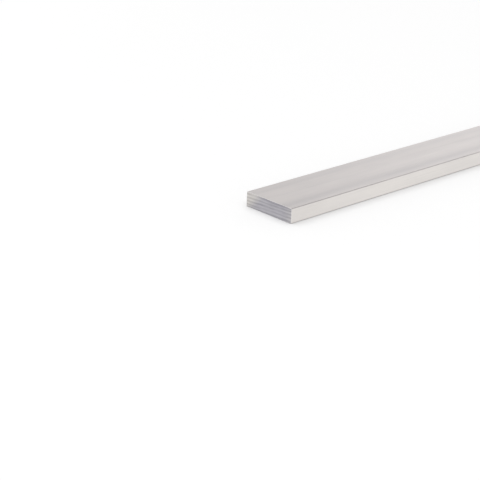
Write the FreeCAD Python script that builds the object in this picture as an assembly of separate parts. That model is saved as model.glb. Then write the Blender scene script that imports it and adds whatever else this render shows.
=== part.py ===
"""Aluminium flat bar: one extruded length of solid rectangular stock, sawn square at both ends.

The bar lies on one broad face. Units are millimetres: +X runs along the bar, +Y across its
width and +Z up through its thickness. The origin is the centre of the face that it rests on.

The section is a rectangle whose four long corners keep the small radius of the extrusion die.
Both ends are flat saw cuts. A file has been drawn once along each of the four sawn edges to
take the burr off, which leaves a narrow bevel at 45 degrees round the cut.
"""
import FreeCAD
import Part

import math
import os

# Driving sizes of the stock
BAR_LENGTH = 1000.0
BAR_WIDTH = 40.0
BAR_THICKNESS = 10.0
# Radius that the extrusion die leaves on the four long corners
CORNER_RADIUS = 0.5
# Reach of the deburring bevel, along the bar and in from its faces alike
DEBURR_BEVEL = 0.2

ALONG_BAR = FreeCAD.Vector(1, 0, 0)
BAR_START = -BAR_LENGTH / 2
QUARTER_TURN = math.pi / 2


def corner_arc(quarter, side_y, side_z):
    """The die's rounding of one corner of the section, a quarter circle that starts at that quarter."""
    centre_y = side_y * (BAR_WIDTH / 2 - CORNER_RADIUS)
    centre_z = BAR_THICKNESS / 2 + side_z * (BAR_THICKNESS / 2 - CORNER_RADIUS)

    def on_arc(share):
        angle = (quarter + share) * QUARTER_TURN
        y = centre_y + CORNER_RADIUS * math.cos(angle)
        z = centre_z + CORNER_RADIUS * math.sin(angle)
        return FreeCAD.Vector(BAR_START, y, z)

    return Part.Arc(on_arc(0), on_arc(0.5), on_arc(1))


def section():
    """The extruded section: four straight sides joined by four rounded corners."""
    sides = [(1, 1), (-1, 1), (-1, -1), (1, -1)]
    arcs = [corner_arc(quarter, *side) for quarter, side in enumerate(sides)]
    edges = []
    for arc, following in zip(arcs, arcs[1:] + arcs[:1]):
        edges.append(arc.toShape())
        edges.append(Part.LineSegment(arc.EndPoint, following.StartPoint).toShape())
    return Part.Face(Part.Wire(edges))


def filed_envelope():
    """The room that the file leaves: a block of the bar's size with a bevel round each end."""
    corner = FreeCAD.Vector(BAR_START, -BAR_WIDTH / 2, 0)
    block = Part.makeBox(BAR_LENGTH, BAR_WIDTH, BAR_THICKNESS, corner)
    cuts = [face for face in block.Faces if abs(face.normalAt(0, 0).dot(ALONG_BAR)) > 0.5]
    return block.makeChamfer(DEBURR_BEVEL, [edge for cut in cuts for edge in cut.Edges])


def flat_bar():
    """The extruded stock, less what the file takes off round its two saw cuts."""
    stock = section().extrude(ALONG_BAR * BAR_LENGTH)
    return stock.common(filed_envelope()).removeSplitter().Solids[0]


def main():
    os.makedirs("parts", exist_ok=True)
    bar = flat_bar()
    bar.exportStep("parts/flat_bar.step")
    print("flat_bar:", len(bar.Faces), "faces,", round(bar.Volume / 1000, 3), "cubic centimetres")


main()
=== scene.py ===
"""An aluminium flat bar: extruded stock, sawn at both ends and lying on a white floor.

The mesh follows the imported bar, with the relief of its surface let into it: the marks that the
saw left on both ends, an uneven filed bevel round each cut, and the shallow lines that the
extrusion die drew along the faces. Lengths are in metres and angles in degrees. +X runs along the
bar, from the sawn end that the camera sees, +Y across it, from the long edge that the camera
sees, and +Z up.
"""
import math

import bpy
from mathutils import Matrix, Vector, noise


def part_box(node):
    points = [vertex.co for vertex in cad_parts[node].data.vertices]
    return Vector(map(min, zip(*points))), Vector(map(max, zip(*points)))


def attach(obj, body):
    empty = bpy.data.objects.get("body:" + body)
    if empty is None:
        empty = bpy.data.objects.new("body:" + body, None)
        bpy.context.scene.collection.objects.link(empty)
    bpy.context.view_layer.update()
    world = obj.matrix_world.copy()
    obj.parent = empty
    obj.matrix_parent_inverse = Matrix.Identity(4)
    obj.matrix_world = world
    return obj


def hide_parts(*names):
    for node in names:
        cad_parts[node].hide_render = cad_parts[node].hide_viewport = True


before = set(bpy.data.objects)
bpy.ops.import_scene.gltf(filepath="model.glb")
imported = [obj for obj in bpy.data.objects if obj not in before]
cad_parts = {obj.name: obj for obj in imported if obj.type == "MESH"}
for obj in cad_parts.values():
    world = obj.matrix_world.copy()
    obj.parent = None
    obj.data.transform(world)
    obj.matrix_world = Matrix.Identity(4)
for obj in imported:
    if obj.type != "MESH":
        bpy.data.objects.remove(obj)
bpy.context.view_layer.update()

MM = 0.001
LOW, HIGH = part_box("flat_bar")
WIDTH = HIGH.y - LOW.y

# The two ends, as the way that each one faces along X
FRONT, BACK = -1, 1
# The four long faces, in the order in which the section's outline is followed
BOTTOM, FAR, TOP, NEAR = range(4)
# The bar's materials, in the order of its material slots
MILL, SAWN, FILED = range(3)

# Edges of the bar: the radius of its long corners, and the width of the filed bevel, which
# narrows in places by this share of it, over stretches of this length
CORNER_RADIUS = 0.5 * MM
BEVEL = 0.2 * MM
BEVEL_UNEVENNESS = 0.3
BEVEL_STRETCH = (4 * MM, 4 * MM)
# Rings of the bevel, from the cut outward: the share of its inset that is left, the share of its
# reach along the bar, and how much of the cut's relief it still follows
BEVEL_RINGS = [(0.85, 0.10, 0.8), (0.10, 0.85, 0.2), (0.0, 1.0, 0.0)]

# How finely the bar is divided: over a long corner, across the width and through the thickness
CORNER_STEPS = 5
WIDTH_STEPS = 130
THICKNESS_STEPS = 96
# Distances from each end at which the long faces are divided, and the spacing between them
END_STATIONS = [0.3 * MM, 0.6 * MM, 1.5 * MM, 4 * MM, 10 * MM]
STATION_SPACING = 25 * MM

# The map from surface to image: its name, a strip for each long face and a patch for each end, as
# (left, right, bottom, top) shares of the image
BAKE_MAP = "OFBake"
STRIPS = {
    TOP: (0.005, 0.995, 0.005, 0.305),
    BOTTOM: (0.005, 0.995, 0.315, 0.605),
    NEAR: (0.005, 0.995, 0.615, 0.695),
    FAR: (0.005, 0.995, 0.705, 0.785),
}
END_PATCHES = {FRONT: (0.005, 0.495, 0.795, 0.995), BACK: (0.505, 0.995, 0.795, 0.995)}
# Room that an end's patch leaves round the end for its unfolded bevel
PATCH_ROOM = 0.4 * MM
# The mesh's attribute that holds how deep the saw cut at each point
DEPTH_ATTRIBUTE = "cut_depth"

# The saw's ridges: their pitch, their depth, and the power that narrows their valleys
RIDGE_PITCH = 2.2 * MM
RIDGE_DEPTH = 0.11 * MM
VALLEY_POWER = 1.5
# For each end, how much lower the ridges run at the far edge than at the near one, and how far
# down they are moved in the middle of the width
RIDGE_SLANTS = {FRONT: (1.7 * MM, -0.45 * MM), BACK: (-1.4 * MM, 0.4 * MM)}
# How far the ridges wander up and down, and the lengths across the cut and down it over which
# they do
RIDGE_WANDER = 0.25 * MM
WANDER_SIZE = (WIDTH / 3, 2 * RIDGE_PITCH)
# The share of their depth that the ridges have in the middle of the width and at its edges, how
# uneven it is and over what lengths, and its limits
RIDGE_STRENGTH = (0.5, 1.0)
RIDGE_UNEVENNESS = 0.6
UNEVEN_SIZE = (WIDTH / 5, RIDGE_PITCH)
RIDGE_LIMITS = (0.25, 1.0)

# The groove that the saw left where it went in: its depth, its half width, how far below the top
# it runs at the near edge and at the far edge, and the share of the ridges' wander that it has
ENTRY_DEPTH = 0.11 * MM
ENTRY_HALF_WIDTH = 0.38 * MM
ENTRY_BELOW_TOP = (0.8 * MM, 1.4 * MM)
ENTRY_WANDER = 0.5
# The share of its depth that it has in the middle of the width, how much that share falls over a
# whole width towards the far edge, and its limits
ENTRY_STRENGTH = 0.8
ENTRY_FALL = 1.5
ENTRY_LIMITS = (0.35, 1.0)

# Finer lines among the ridges: their pitch, their depth, how uneven it is and over what lengths,
# and how much of the ridges' slant and wander they have
FINE_PITCH = 0.47 * MM
FINE_DEPTH = 0.035 * MM
FINE_UNEVENNESS = 0.9
FINE_SIZE = (WIDTH / 7, 1 * MM)
FINE_SLANT = 1.3
FINE_WANDER = 0.6
# Torn metal all over the cut: its depth, the lengths over which it changes, and its octaves
TORN_DEPTH = 0.02 * MM
TORN_SIZE = (MM / 0.35, MM / 2.2)
TORN_OCTAVES = 3

# Lines that the die drew: for each kind, its width, its depth and the length over which it changes
DIE_LINES = [(4.0 * MM, 0.010 * MM, 200 * MM), (1.1 * MM, 0.006 * MM, 120 * MM)]

# Where the relief's patterns lie in the noise, so that no two are alike: the distance between the
# two ends, the places of three patterns of a cut, and the distances between bevels and faces
END_SEED = 10.0
UNEVEN_SEED = 3.0
FINE_SEED = 5.0
TORN_SEED = 7.0
BEVEL_SEED = 31.0
FACE_SEED = 7.3

# Colours, as the light that each surface sends back
MILL_LIGHT = (0.828, 0.783, 0.768)
MILL_DARK = (0.763, 0.721, 0.708)
# The sawn ends' colour on ridges and in valleys. Its dark bluish grey is partly a duller cut and
# partly painted reflection, and the valleys' extra darkness is painted shade.
SAWN_RIDGE = (0.535, 0.515, 0.558)
SAWN_VALLEY_SHADE = (0.343, 0.33, 0.368)
# Colours of the lighter part of each cut by its far edge, on ridges and in valleys: painted
# reflection
PAINTED_REFLECTION_RIDGE = (0.727, 0.695, 0.68)
PAINTED_REFLECTION_VALLEY = (0.525, 0.50, 0.492)
FILED_LIGHT = (0.82, 0.80, 0.81)
FILED_DARK = (0.72, 0.70, 0.71)
WHITE = (1.0, 1.0, 1.0)

# Noise in the finish: the size of its features along the bar, across it and up, and its detail
MILL_PATTERNS = {
    "bands": ((350 * MM, 9 * MM, 9 * MM), 2.0),
    "lines": ((130 * MM, 1.3 * MM, 1.3 * MM), 3.0),
    "hairlines": ((45 * MM, 0.16 * MM, 0.16 * MM), 3.0),
    "scores": ((160 * MM, 0.3 * MM, 0.3 * MM), 2.0),
    "clouds": ((45 * MM, 12 * MM, 12 * MM), 3.0),
    "haze": ((25 * MM, 9 * MM, 9 * MM), 3.0),
}
SAWN_PATTERNS = {
    "scratches": ((4 * MM, 9 * MM, 0.12 * MM), 3.0),
    "furrows": ((9 * MM, 14 * MM, 0.38 * MM), 3.0),
    "patches": ((9 * MM, 7 * MM, 3 * MM), 2.0),
}
FILED_PATTERNS = {"marks": ((0.3 * MM, 0.5 * MM, 0.5 * MM), 2.0)}
# How much each pattern counts: in the shade and the dullness of the mill finish, and in the marks
# and the shade of the sawn ends, where the relief's depth counts too, as painted shade in the valleys
MILL_SHADE = {"bands": 0.35, "lines": 0.20, "hairlines": 0.10, "clouds": 0.35}
MILL_DULLNESS = {"lines": 0.35, "hairlines": 0.25, "clouds": 0.40}
SAWN_MARKS = {"scratches": 0.5, "furrows": 0.5}
SAWN_SHADE = {"depth": 0.9, "marks": 0.6, "patches": 0.35}
# The values that become 0 and 1: in one pattern, in one that shows with more contrast, in a sum
# of patterns, which varies less, and in the shade of the sawn ends
NOISE_SPAN = (0.3, 0.7)
CONTRAST_SPAN = (0.35, 0.65)
MILL_SHADE_SPAN = (0.38, 0.62)
SAWN_SHADE_SPAN = (0.35, 1.4)

# Least and greatest roughness, and the depth of the bump that is too fine for the mesh
MILL_ROUGHNESS = (0.30, 0.40)
SAWN_ROUGHNESS = (0.38, 0.52)
FILED_ROUGHNESS = (0.30, 0.42)
MILL_BUMP = 0.006 * MM
SAWN_BUMP = 0.02 * MM
# How far the lines along the bar spread a highlight across them, and the share of a turn from the
# map's left-to-right way, which is the way along the bar, to the way across it
ANISOTROPY = 0.4
QUARTER_TURN = 0.25

# What the mill finish is multiplied by, at most: along the die's fine lines, in its hazy patches,
# and along its few deeper scores, which start and are full at these values of their noise
HAIRLINE_TINT = (0.95, 0.95, 0.95)
HAZE_TINT = (0.97, 0.97, 0.975)
SCORE_TINT = (0.88, 0.88, 0.885)
SCORE_SPAN = (0.66, 0.72)
# Darker bands along the broad faces, painted shade that stands in for their uneven reflection:
# distance from the near edge, half width and strength, the share of that strength that is left where
# the band is weakest, and what the band multiplies by
SHADED_BANDS = [(6.7 * MM, 7 * MM, 1.0), (34 * MM, 6.5 * MM, 0.55)]
SHADED_BAND_WEAKEST = 0.6
BAND_SHADE_TINT = (0.87, 0.875, 0.885)

# The lighter corner of each cut by the far edge, a painted reflection: how far it reaches from the
# far edge at the bottom, how much further for each metre of height, and the width over which it fades
REFLECTION_REACH = 2.5 * MM
REFLECTION_SLOPE = 1.0
REFLECTION_FADE = 10 * MM
# The cut is also drawn lighter by the near edge, less so: its reach from the near edge, and its
# strength there
NEAR_LIGHTENING_REACH = 8 * MM
NEAR_LIGHTENING = 0.3

# The floor: a disc, its colour, and its white as the metal shows it, a shade off plain white
FLOOR_RADIUS = 30.0
FLOOR_POINTS = 64
FLOOR_COLOUR = (0.8, 0.8, 0.8)
MIRRORED_WHITE = (0.975, 0.99, 0.967)
# What the floor adds to the light that falls on it, so that it ends up white: by the bar, and
# further off, where less light falls. The glow rises between the two distances.
FLOOR_GLOW = (0.32, 0.45)
GLOW_RISE = (0.5, 4.0)
# Within this distance of the bar the glow fades, so that the floor keeps the bar's shadow, and
# within the shorter one the floor that the metal shows turns dark
CONTACT_REACH = 9 * MM
MIRRORED_REACH = 1.6 * MM

# The studio's light: how high above the horizon, as the sine of the angle, and how bright
STUDIO_LIGHT = [(0.0, 1.05), (0.2, 1.0), (0.42, 0.72), (0.66, 0.48), (0.9, 0.95), (1.0, 1.0)]
# A dark flag above on the right, which draws the line along the near top edge: where it hangs,
# how far it reaches from its middle, whole and faded out, and what it multiplies the light by
FLAG_AZIMUTH = 75
FLAG_ELEVATION = 47
FLAG_REACH = (12, 34)
FLAG_TINT = (0.36, 0.36, 0.36)
# Square lamps that face the bar: azimuth, elevation, distance, size, and how bright their face is
SOFTBOXES = {
    "key": (-80, 55, 4.0, 2.4, 1.2),
    "rim": (-150, 42, 4.0, 2.2, 0.35),
    "side": (120, 17, 4.0, 2.2, 0.16),
}

# The photograph's view: a square frame, the lens, how near it sees, and where it looks from
FRAME_PIXELS = 480
SENSOR_WIDTH = 36.0
LENS = 103.6
CLIP_START = 0.01
CAMERA_AZIMUTH = -43.73
CAMERA_ELEVATION = 21.75
CAMERA_ROLL = 2.14
# The sawn end's near top corner: where the photograph shows it, and its distance along the view
CORNER_PIXEL = (291.65, 208.94)
CORNER_DISTANCE = 0.845


def limited(value, lowest, highest):
    return min(max(value, lowest), highest)


def wave(turns):
    """A smooth rise and fall from 0 to 1 and back, once a turn."""
    return 0.5 - 0.5 * math.cos(2 * math.pi * turns)


def fractal(across, upright, size, seed, octaves=2):
    """Smooth noise round zero, the same on every run, with features of that size each way."""
    x, y = across / size[0], upright / size[1]
    total = 0.0
    for octave in range(octaves):
        scale = 2.0 ** octave
        total += noise.noise(Vector((x * scale, y * scale, seed * scale))) / scale
    return total


def ridge_depth(y, below_top, slant, wander, seed):
    """The saw's ridges across the cut, as the depth of the valleys between them."""
    middle, edge = RIDGE_STRENGTH
    uneven = RIDGE_UNEVENNESS * fractal(y, below_top, UNEVEN_SIZE, seed + UNEVEN_SEED)
    strength = limited(middle + (edge - middle) * 2 * abs(y / WIDTH) + uneven, *RIDGE_LIMITS)
    valley = wave((below_top - slant + wander) / RIDGE_PITCH) ** VALLEY_POWER
    return RIDGE_DEPTH * strength * valley


def entry_depth(y, below_top, wander):
    """The groove where the saw went in."""
    across = y / WIDTH
    near, far = ENTRY_BELOW_TOP
    middle = near + (far - near) * (across + 0.5)
    off_middle = (below_top - middle + ENTRY_WANDER * wander) / ENTRY_HALF_WIDTH
    strength = limited(ENTRY_STRENGTH - ENTRY_FALL * across, *ENTRY_LIMITS)
    return ENTRY_DEPTH * strength * math.exp(-off_middle ** 2)


def fine_depth(y, below_top, slant, wander, seed):
    """The finer lines among the ridges."""
    uneven = FINE_UNEVENNESS * fractal(y, below_top, FINE_SIZE, seed + FINE_SEED)
    turns = (below_top - FINE_SLANT * slant + FINE_WANDER * wander) / FINE_PITCH
    return FINE_DEPTH * limited(0.5 + uneven, 0.0, 1.0) * wave(turns)


def torn_depth(y, z, seed):
    """The torn metal all over the cut."""
    torn = 0.5 + 0.5 * fractal(y, z, TORN_SIZE, seed + TORN_SEED, TORN_OCTAVES)
    return TORN_DEPTH * max(torn, 0.0)


def cut_depth(y, z, end):
    """How deep the saw cut at one spot of an end, from 0 at the highest ridges."""
    seed = END_SEED * end
    below_top = HIGH.z - z
    drop, shift = RIDGE_SLANTS[end]
    slant = drop * y / WIDTH + shift
    wander = RIDGE_WANDER * fractal(y, below_top, WANDER_SIZE, seed)
    ridges = ridge_depth(y, below_top, slant, wander, seed)
    coarse = max(ridges, entry_depth(y, below_top, wander))
    return coarse + fine_depth(y, below_top, slant, wander, seed) + torn_depth(y, z, seed)


def bevel_width(y, z, end):
    """How wide the file left the bevel at one spot of an end's edge."""
    uneven = limited(0.5 + 0.5 * fractal(y, z, BEVEL_STRETCH, BEVEL_SEED * end), 0.0, 1.0)
    return BEVEL * (1 - BEVEL_UNEVENNESS * uneven)


def die_depth(x, along_side, side):
    """How deep the die's lines are at one spot of a long face."""
    depth = 0.0
    for width, deepest, reach in DIE_LINES:
        spot = Vector((x / reach, along_side / width, FACE_SEED * side))
        depth += deepest * (0.5 + 0.5 * noise.noise(spot))
    return depth


def grid_lines(low, high, steps):
    """Lines from low to high: close ones over both corners, and even ones between them."""
    corner = [CORNER_RADIUS * step / CORNER_STEPS for step in range(CORNER_STEPS)]
    start, stop = low + CORNER_RADIUS, high - CORNER_RADIUS
    even = [start + (stop - start) * step / steps for step in range(steps + 1)]
    return [low + reach for reach in corner] + even + [high - reach for reach in reversed(corner)]


# The grid of each end, and the section's outline in its steps, with the bar's outside on the
# right: each step's place in the grid and the face that it belongs to
ACROSS = grid_lines(LOW.y, HIGH.y, WIDTH_STEPS)
THROUGH = grid_lines(LOW.z, HIGH.z, THICKNESS_STEPS)
LAST_I, LAST_J = len(ACROSS) - 1, len(THROUGH) - 1
OUTLINE = [(i, 0, BOTTOM) for i in range(LAST_I)]
OUTLINE += [(LAST_I, j, FAR) for j in range(LAST_J)]
OUTLINE += [(i, LAST_J, TOP) for i in range(LAST_I, 0, -1)]
OUTLINE += [(0, j, NEAR) for j in range(LAST_J, 0, -1)]
INWARD = {BOTTOM: (0, 1), FAR: (-1, 0), TOP: (0, -1), NEAR: (1, 0)}


def rounded(y, z, inset=0.0):
    """A spot of the plain rectangle, moved to the section with rounded corners, set in by inset."""
    core_y = limited(y, LOW.y + CORNER_RADIUS, HIGH.y - CORNER_RADIUS)
    core_z = limited(z, LOW.z + CORNER_RADIUS, HIGH.z - CORNER_RADIUS)
    out_y, out_z = y - core_y, z - core_z
    reach = math.hypot(out_y, out_z)
    if reach == 0:
        return y, z
    share = max(abs(out_y), abs(out_z)) / CORNER_RADIUS
    stretch = share * (CORNER_RADIUS - inset) / reach
    return core_y + out_y * stretch, core_z + out_z * stretch


def share_of(value, low, high):
    return (value - low) / (high - low)


def strip_place(x, i, j, side):
    """The map's place for a spot of a long face."""
    left, right, bottom, top = STRIPS[side]
    if side in (BOTTOM, TOP):
        across = share_of(ACROSS[i], LOW.y, HIGH.y)
    else:
        across = share_of(THROUGH[j], LOW.z, HIGH.z)
    u = left + (right - left) * share_of(x, LOW.x, HIGH.x)
    return u, bottom + (top - bottom) * across


def patch_place(y, z, end):
    """The map's place for a spot of an end or of its unfolded bevel."""
    left, right, bottom, top = END_PATCHES[end]
    u = left + (right - left) * share_of(y, LOW.y - PATCH_ROOM, HIGH.y + PATCH_ROOM)
    v = bottom + (top - bottom) * share_of(z, LOW.z - PATCH_ROOM, HIGH.z + PATCH_ROOM)
    return u, v


class Surface:
    """Gathers points and faces, with each face's material and its corners' places on the map."""

    def __init__(self):
        self.points, self.depths = [], []
        self.faces, self.places, self.materials = [], [], []

    def point(self, x, y, z, depth=0.0):
        """Adds a point, with how deep the saw cut there, and returns its number."""
        self.points.append((x, y, z))
        self.depths.append(depth)
        return len(self.points) - 1

    def face(self, corners, material, turned=False):
        """Adds a face, whose corners are each a point and its place on the map.

        A turned face has its corners the other way round.
        """
        ordered = corners[::-1] if turned else corners
        self.faces.append([point for point, place in ordered])
        self.places.extend(place for point, place in ordered)
        self.materials.append(material)

    def mesh(self, name):
        made = bpy.data.meshes.new(name)
        made.from_pydata(self.points, [], self.faces)
        made.polygons.foreach_set("material_index", self.materials)
        made.polygons.foreach_set("use_smooth", [True] * len(self.faces))
        numbers = [number for place in self.places for number in place]
        made.uv_layers.new(name=BAKE_MAP).uv.foreach_set("vector", numbers)
        depth = made.attributes.new(DEPTH_ATTRIBUTE, "FLOAT", "POINT")
        depth.data.foreach_set("value", self.depths)
        made.validate()
        return made


def end_x(end):
    """Where an end is along the bar."""
    return LOW.x if end == FRONT else HIGH.x


def sawn_end(surface, end):
    """The sawn face of one end with the bevel round it. Returns the bevel's outer ring of points."""
    grid = {}
    for i, y in enumerate(ACROSS):
        for j, z in enumerate(THROUGH):
            depth = cut_depth(y, z, end)
            spot = rounded(y, z, bevel_width(y, z, end))
            point = surface.point(end_x(end) - end * depth, *spot, depth)
            grid[i, j] = (point, patch_place(*spot, end))
    for i in range(LAST_I):
        for j in range(LAST_J):
            corners = [grid[i, j], grid[i, j + 1], grid[i + 1, j + 1], grid[i + 1, j]]
            surface.face(corners, SAWN, turned=end == BACK)
    return bevel(surface, end, grid)


def bevel(surface, end, grid):
    """The filed bevel round a cut. Returns its outer ring of points."""
    ring = [(i, j) for i, j, side in OUTLINE]
    inner = grid
    for inset_left, reach, relief_left in BEVEL_RINGS:
        outer = {}
        for i, j in ring:
            y, z = ACROSS[i], THROUGH[j]
            width = bevel_width(y, z, end)
            rim_point = grid[i, j][0]
            depth = relief_left * surface.depths[rim_point]
            x = end_x(end) - end * (width * reach + depth)
            point = surface.point(x, *rounded(y, z, width * inset_left), depth)
            unfolded = rounded(y, z, width * (inset_left - reach))
            outer[i, j] = (point, patch_place(*unfolded, end))
        for step, following in zip(ring, ring[1:] + ring[:1]):
            corners = [inner[step], inner[following], outer[following], outer[step]]
            surface.face(corners, FILED, turned=end == BACK)
        inner = outer
    return [point for point, place in inner.values()]


def stations():
    """Where the long faces are divided, from one end to the other."""
    near = [LOW.x + reach for reach in END_STATIONS]
    far = [HIGH.x - reach for reach in reversed(END_STATIONS)]
    count = round((far[0] - near[-1]) / STATION_SPACING)
    middle = [near[-1] + (far[0] - near[-1]) * step / count for step in range(1, count)]
    return near + middle + far


def face_ring(surface, x):
    """A ring of points round the section at one station, with the die's lines let in."""
    ring = []
    for i, j, side in OUTLINE:
        y, z = rounded(ACROSS[i], THROUGH[j])
        along_side = ACROSS[i] if side in (BOTTOM, TOP) else THROUGH[j]
        depth = die_depth(x, along_side, side)
        inward_y, inward_z = INWARD[side]
        ring.append(surface.point(x, y + inward_y * depth, z + inward_z * depth))
    return ring


def long_faces(surface, first, last):
    """The four long faces and their rounded corners, between the bevels' outer rings."""
    places = stations()
    rings = [first] + [face_ring(surface, x) for x in places] + [last]
    spots = [surface.points[first[0]][0]] + places + [surface.points[last[0]][0]]
    for near, far, start, stop in zip(rings, rings[1:], spots, spots[1:]):
        for k, (i, j, side) in enumerate(OUTLINE):
            k_next = (k + 1) % len(OUTLINE)
            i_next, j_next = OUTLINE[k_next][:2]
            corners = [
                (near[k], strip_place(start, i, j, side)),
                (near[k_next], strip_place(start, i_next, j_next, side)),
                (far[k_next], strip_place(stop, i_next, j_next, side)),
                (far[k], strip_place(stop, i, j, side)),
            ]
            surface.face(corners, MILL)


# Sockets of the Mix node for colours, which have the same names as its sockets for numbers
MIX_SHARE, MIX_FIRST, MIX_SECOND, MIX_RESULT = 0, 6, 7, 2


def set_inputs(tree, node, inputs):
    """Links a node's inputs to other nodes' outputs, or sets them. A colour's alpha is 1."""
    for name, value in inputs.items():
        socket = node.inputs[name]
        if isinstance(value, bpy.types.NodeSocket):
            tree.links.new(value, socket)
        elif socket.type == "RGBA":
            socket.default_value = (*value, 1.0)
        else:
            socket.default_value = value


def add_node(tree, kind, inputs=None, **settings):
    """A node of that kind, with its settings and its inputs."""
    node = tree.nodes.new(kind)
    for name, value in settings.items():
        setattr(node, name, value)
    set_inputs(tree, node, inputs or {})
    return node


def noise_patterns(tree, place, table):
    """The table's patterns by name, as outputs from 0 to 1."""
    patterns = {}
    for name, (sizes, detail) in table.items():
        inputs = {"Vector": place, "Scale": [1 / size for size in sizes]}
        scaled = add_node(tree, "ShaderNodeMapping", inputs, vector_type="POINT").outputs["Vector"]
        inputs = {"Vector": scaled, "Scale": 1.0, "Detail": detail}
        patterns[name] = add_node(tree, "ShaderNodeTexNoise", inputs).outputs["Fac"]
    return patterns


def maths(tree, operation, *values):
    """A number worked out from others."""
    inputs = dict(enumerate(values))
    return add_node(tree, "ShaderNodeMath", inputs, operation=operation).outputs["Value"]


def weighted(tree, outputs, weights):
    """The sum of the outputs that the weights name, each times its weight."""
    total = 0.0
    for name, weight in weights.items():
        total = maths(tree, "MULTIPLY_ADD", outputs[name], weight, total)
    return total


def remap(tree, value, span, onto=(0.0, 1.0), way="LINEAR"):
    """The value, moved from one span onto another and kept inside it."""
    inputs = {"Value": value, "From Min": span[0], "From Max": span[1]}
    inputs.update({"To Min": onto[0], "To Max": onto[1]})
    return add_node(tree, "ShaderNodeMapRange", inputs, interpolation_type=way).outputs["Result"]


def smooth_step(tree, value, low, high):
    """0 below low and 1 above high, or the other way round where low is the greater."""
    return remap(tree, value, (low, high), way="SMOOTHSTEP")


def mixed(tree, share, first, second, way="MIX"):
    """The first colour at share 0 and, the plain way, the second at share 1."""
    inputs = {MIX_SHARE: share, MIX_FIRST: first, MIX_SECOND: second}
    node = add_node(tree, "ShaderNodeMix", inputs, data_type="RGBA", blend_type=way)
    return node.outputs[MIX_RESULT]


def tinted(tree, share, colour, tint):
    """The colour, times the tint where share is 1."""
    return mixed(tree, share, colour, tint, way="MULTIPLY")


def bump(tree, height, depth):
    inputs = {"Height": height, "Distance": depth, "Strength": 1.0}
    return add_node(tree, "ShaderNodeBump", inputs).outputs["Normal"]


def part_of(tree, place, axis):
    """One coordinate of a place, X, Y or Z."""
    return add_node(tree, "ShaderNodeSeparateXYZ", {"Vector": place}).outputs[axis]


def metal(name):
    """A metal's material. Returns it with its node tree, its shader and the place on the bar."""
    material = bpy.data.materials.new(name)
    material.use_nodes = True
    tree = material.node_tree
    shader = tree.nodes["Principled BSDF"]
    set_inputs(tree, shader, {"Metallic": 1.0})
    place = add_node(tree, "ShaderNodeTexCoord").outputs["Object"]
    return material, tree, shader, place


def with_shaded_bands(tree, place, colour, bands):
    """The colour with bands of painted shade along the bar, made uneven by the noise in bands."""
    across = part_of(tree, place, "Y")
    for from_edge, half_width, strength in SHADED_BANDS:
        away = maths(tree, "ABSOLUTE", maths(tree, "SUBTRACT", across, LOW.y + from_edge))
        near = smooth_step(tree, away, half_width, 0.0)
        uneven = remap(tree, bands, NOISE_SPAN, (SHADED_BAND_WEAKEST * strength, strength))
        colour = tinted(tree, maths(tree, "MULTIPLY", near, uneven), colour, BAND_SHADE_TINT)
    return colour


def mill_finish():
    """The extruded faces: satin metal with lengthwise streaks, cloudy patches, fine lines and bands
    of painted shade.
    """
    material, tree, shader, place = metal("mill_finish")
    patterns = noise_patterns(tree, place, MILL_PATTERNS)
    shade = remap(tree, weighted(tree, patterns, MILL_SHADE), MILL_SHADE_SPAN)
    hairlines = remap(tree, patterns["hairlines"], CONTRAST_SPAN)
    haze = remap(tree, patterns["haze"], CONTRAST_SPAN)
    scores = smooth_step(tree, patterns["scores"], *SCORE_SPAN)
    colour = mixed(tree, shade, MILL_DARK, MILL_LIGHT)
    for share, tint in ((hairlines, HAIRLINE_TINT), (haze, HAZE_TINT), (scores, SCORE_TINT)):
        colour = tinted(tree, share, colour, tint)
    dullness = weighted(tree, patterns, MILL_DULLNESS)
    along_map = add_node(tree, "ShaderNodeTangent", direction_type="UV_MAP", uv_map=BAKE_MAP)
    set_inputs(tree, shader, {
        "Base Color": with_shaded_bands(tree, place, colour, patterns["bands"]),
        "Roughness": remap(tree, dullness, NOISE_SPAN, MILL_ROUGHNESS),
        "Normal": bump(tree, patterns["hairlines"], MILL_BUMP),
        "Anisotropic": ANISOTROPY,
        "Anisotropic Rotation": QUARTER_TURN,
        "Tangent": along_map.outputs["Tangent"],
    })
    return material


def lightened_share(tree, place):
    """How much lighter the cut is drawn: by the far edge as painted reflection, and less by the near
    edge.
    """
    across = part_of(tree, place, "Y")
    from_near_edge = maths(tree, "SUBTRACT", across, LOW.y)
    from_far_edge = maths(tree, "SUBTRACT", HIGH.y, across)
    rise = maths(tree, "MULTIPLY", part_of(tree, place, "Z"), REFLECTION_SLOPE)
    past = maths(tree, "SUBTRACT", maths(tree, "SUBTRACT", from_far_edge, rise), REFLECTION_REACH)
    at_far_edge = smooth_step(tree, past, REFLECTION_FADE / 2, -REFLECTION_FADE / 2)
    at_near_edge = smooth_step(tree, from_near_edge, NEAR_LIGHTENING_REACH, 0.0)
    return maths(tree, "MULTIPLY_ADD", at_near_edge, NEAR_LIGHTENING, at_far_edge)


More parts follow.
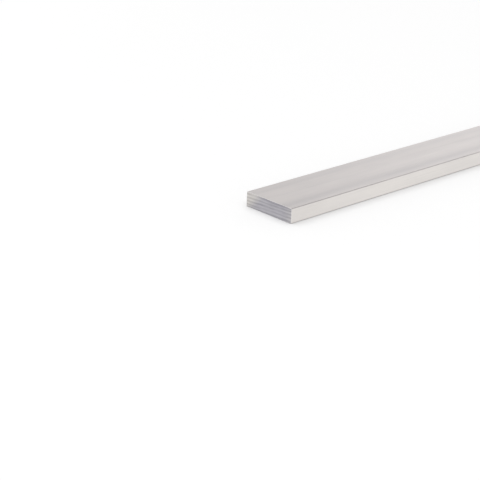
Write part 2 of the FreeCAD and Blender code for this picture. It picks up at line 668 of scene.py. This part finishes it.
def sawn_cut():
    """The sawn ends: duller metal with painted shade in the saw's valleys, and scratches along them.
    """
    material, tree, shader, place = metal("sawn_cut")
    patterns = noise_patterns(tree, place, SAWN_PATTERNS)
    depth = add_node(tree, "ShaderNodeAttribute", attribute_name=DEPTH_ATTRIBUTE).outputs["Fac"]
    # The relief's depth, which darkens the valleys as painted shade
    patterns["depth"] = remap(tree, depth, (0.0, RIDGE_DEPTH))
    patterns["marks"] = remap(tree, weighted(tree, patterns, SAWN_MARKS), CONTRAST_SPAN)
    low = remap(tree, weighted(tree, patterns, SAWN_SHADE), SAWN_SHADE_SPAN)
    valley_shaded_colour = mixed(tree, low, SAWN_RIDGE, SAWN_VALLEY_SHADE)
    # The lighter colours by the far edge are painted reflection
    painted_reflection_colour = mixed(tree, low, PAINTED_REFLECTION_RIDGE, PAINTED_REFLECTION_VALLEY)
    set_inputs(tree, shader, {
        "Base Color": mixed(tree, lightened_share(tree, place), valley_shaded_colour, painted_reflection_colour),
        "Roughness": remap(tree, patterns["scratches"], NOISE_SPAN, SAWN_ROUGHNESS),
        "Normal": bump(tree, patterns["scratches"], SAWN_BUMP),
    })
    return material


def filed_edge():
    """The filed bevels: bright metal with short marks."""
    material, tree, shader, place = metal("filed_edge")
    marks = noise_patterns(tree, place, FILED_PATTERNS)["marks"]
    set_inputs(tree, shader, {
        "Base Color": mixed(tree, marks, FILED_DARK, FILED_LIGHT),
        "Roughness": remap(tree, marks, NOISE_SPAN, FILED_ROUGHNESS),
    })
    return material


def build_bar():
    surface = Surface()
    first = sawn_end(surface, FRONT)
    last = sawn_end(surface, BACK)
    long_faces(surface, first, last)
    bar = bpy.data.objects.new("aluminium_flat_bar", surface.mesh("aluminium_flat_bar"))
    bpy.context.scene.collection.objects.link(bar)
    for material in (mill_finish(), sawn_cut(), filed_edge()):
        bar.data.materials.append(material)
    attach(bar, "root")
    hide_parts("flat_bar")


def floor_material():
    """A white floor that keeps the bar's shadow. The metal shows it white, and dark under the bar."""
    material = bpy.data.materials.new("white_floor")
    material.use_nodes = True
    tree = material.node_tree
    tree.nodes.clear()
    path = add_node(tree, "ShaderNodeLightPath").outputs
    contact = add_node(tree, "ShaderNodeAmbientOcclusion", {"Distance": CONTACT_REACH}).outputs["AO"]
    close = add_node(tree, "ShaderNodeAmbientOcclusion", {"Distance": MIRRORED_REACH}).outputs["AO"]
    place = add_node(tree, "ShaderNodeTexCoord").outputs["Object"]
    away = add_node(tree, "ShaderNodeVectorMath", {0: place}, operation="LENGTH").outputs["Value"]
    glowing = remap(tree, away, GLOW_RISE, FLOOR_GLOW)
    seen = maths(tree, "MULTIPLY", path["Is Camera Ray"], glowing)
    inputs = {"Strength": maths(tree, "MULTIPLY", seen, contact)}
    glow = add_node(tree, "ShaderNodeEmission", inputs).outputs["Emission"]
    diffuse = add_node(tree, "ShaderNodeBsdfDiffuse", {"Color": FLOOR_COLOUR}).outputs["BSDF"]
    lit = add_node(tree, "ShaderNodeAddShader", {0: diffuse, 1: glow}).outputs["Shader"]
    white = add_node(tree, "ShaderNodeEmission", {"Color": MIRRORED_WHITE, "Strength": close})
    mirrored = maths(tree, "MAXIMUM", path["Is Glossy Ray"], path["Is Transmission Ray"])
    inputs = {"Fac": mirrored, 1: lit, 2: white.outputs["Emission"]}
    shown = add_node(tree, "ShaderNodeMixShader", inputs).outputs["Shader"]
    add_node(tree, "ShaderNodeOutputMaterial", {"Surface": shown})
    return material


def build_floor():
    turns = [2 * math.pi * step / FLOOR_POINTS for step in range(FLOOR_POINTS)]
    rim = [(FLOOR_RADIUS * math.cos(t), FLOOR_RADIUS * math.sin(t), LOW.z) for t in turns]
    mesh = bpy.data.meshes.new("floor")
    mesh.from_pydata(rim, [], [tuple(range(FLOOR_POINTS))])
    mesh.materials.append(floor_material())
    floor = bpy.data.objects.new("floor", mesh)
    bpy.context.scene.collection.objects.link(floor)


def direction_from(azimuth, elevation):
    """The way from the bar to a viewer. Azimuth 0 is a viewer on the -Y side, 90 one on +X."""
    turn, rise = math.radians(azimuth), math.radians(elevation)
    level = math.cos(rise)
    return Vector((math.sin(turn) * level, -math.cos(turn) * level, math.sin(rise)))


def studio_light(tree, direction):
    """The studio's brightness in a direction: white at the horizon and overhead, grey between."""
    height = part_of(tree, direction, "Z")
    studio = add_node(tree, "ShaderNodeValToRGB", {"Fac": height})
    ramp = studio.color_ramp
    ramp.interpolation = "B_SPLINE"
    for _ in range(len(STUDIO_LIGHT) - len(ramp.elements)):
        ramp.elements.new(0.5)
    for element, (place, level) in zip(ramp.elements, STUDIO_LIGHT):
        element.position = place
        element.color = (level, level, level, 1.0)
    return studio.outputs["Color"]


def flag_share(tree, direction):
    """How much the dark flag covers a direction."""
    inputs = {0: direction, 1: direction_from(FLAG_AZIMUTH, FLAG_ELEVATION)}
    towards = add_node(tree, "ShaderNodeVectorMath", inputs, operation="DOT_PRODUCT")
    full, rim = (math.cos(math.radians(angle)) for angle in FLAG_REACH)
    return smooth_step(tree, towards.outputs["Value"], rim, full)


def build_world():
    """A soft studio round the bar, which the camera sees as plain white."""
    world = bpy.data.worlds.new("studio")
    bpy.context.scene.world = world
    world.use_nodes = True
    tree = world.node_tree
    tree.nodes.clear()
    direction = add_node(tree, "ShaderNodeTexCoord").outputs["Generated"]
    covered = flag_share(tree, direction)
    flagged = tinted(tree, covered, studio_light(tree, direction), FLAG_TINT)
    camera_ray = add_node(tree, "ShaderNodeLightPath").outputs["Is Camera Ray"]
    inputs = {"Color": mixed(tree, camera_ray, flagged, WHITE), "Strength": 1.0}
    background = add_node(tree, "ShaderNodeBackground", inputs).outputs["Background"]
    add_node(tree, "ShaderNodeOutputWorld", {"Surface": background})


def softbox(name, azimuth, elevation, distance, size, level):
    """A square lamp that faces the bar's middle. level is how bright its face is."""
    lamp = bpy.data.lights.new(name, "AREA")
    lamp.shape = "SQUARE"
    lamp.size = size
    lamp.energy = level * math.pi * size ** 2
    holder = bpy.data.objects.new(name, lamp)
    bpy.context.scene.collection.objects.link(holder)
    back = direction_from(azimuth, elevation)
    holder.location = back * distance
    holder.rotation_mode = "QUATERNION"
    holder.rotation_quaternion = back.to_track_quat("Z", "Y")
    holder.visible_camera = False


def build_camera():
    """The photograph's camera, placed from the corner that it shows at a known pixel."""
    back = direction_from(CAMERA_AZIMUTH, CAMERA_ELEVATION)
    level_right = Vector((0, 0, 1)).cross(back).normalized()
    level_up = back.cross(level_right)
    roll = math.radians(CAMERA_ROLL)
    right = level_right * math.cos(roll) + level_up * math.sin(roll)
    up = level_up * math.cos(roll) - level_right * math.sin(roll)
    focal_pixels = LENS / SENSOR_WIDTH * FRAME_PIXELS
    to_right = (CORNER_PIXEL[0] - FRAME_PIXELS / 2) / focal_pixels
    to_top = (FRAME_PIXELS / 2 - CORNER_PIXEL[1]) / focal_pixels
    corner = Vector((LOW.x, LOW.y, HIGH.z))
    camera = bpy.data.cameras.new("photo_camera")
    camera.sensor_width = SENSOR_WIDTH
    camera.lens = LENS
    camera.clip_start = CLIP_START
    holder = bpy.data.objects.new("photo_camera", camera)
    bpy.context.scene.collection.objects.link(holder)
    turned = Matrix((right, up, back)).transposed().to_4x4()
    spot = corner - CORNER_DISTANCE * (right * to_right + up * to_top - back)
    holder.matrix_world = Matrix.Translation(spot) @ turned
    bpy.context.scene.camera = holder


build_bar()
build_floor()
build_world()
for name, settings in SOFTBOXES.items():
    softbox(name, *settings)
build_camera()
bpy.context.scene.view_settings.view_transform = "Standard"
